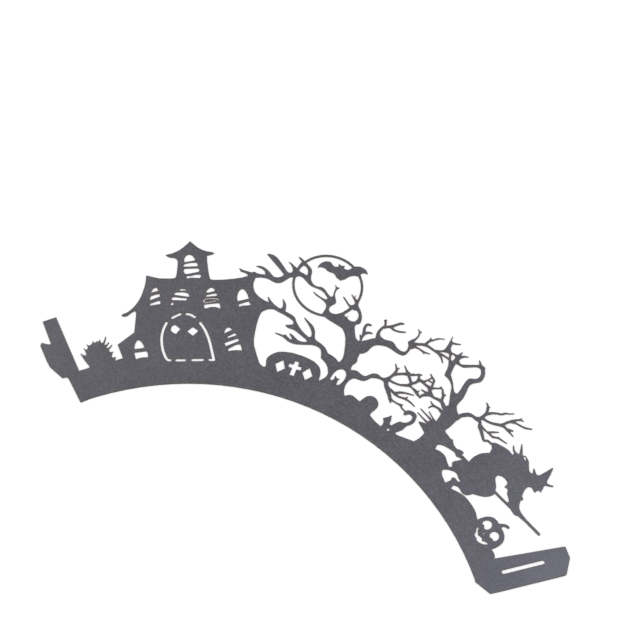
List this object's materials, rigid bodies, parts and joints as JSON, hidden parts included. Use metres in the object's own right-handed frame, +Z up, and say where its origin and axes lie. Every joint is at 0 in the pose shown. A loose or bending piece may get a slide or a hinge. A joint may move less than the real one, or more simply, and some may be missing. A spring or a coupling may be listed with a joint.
{
  "type": "cupcake wrapper",
  "caption": "Flat laser-cut card cupcake wrapper: an arched band with a haunted-scene silhouette edge, a hooked end strip and a slotted end tab that close it into a cone.",
  "frame": {"origin": "bottom centre of the sheet's bounding box, on the surface it lies on", "axes": "+X along the sheet from its hooked end to its slotted end, +Y from the foot's arc outwards to the silhouette edge, +Z up out of the sheet"},
  "size_m": [0.1952, 0.0916, 0.0003],
  "materials": {
    "black_pearl_card": "pearl coated"
  },
  "bodies": {
    "root": {"wrapper": "black_pearl_card"}
  },
  "joints": []
}
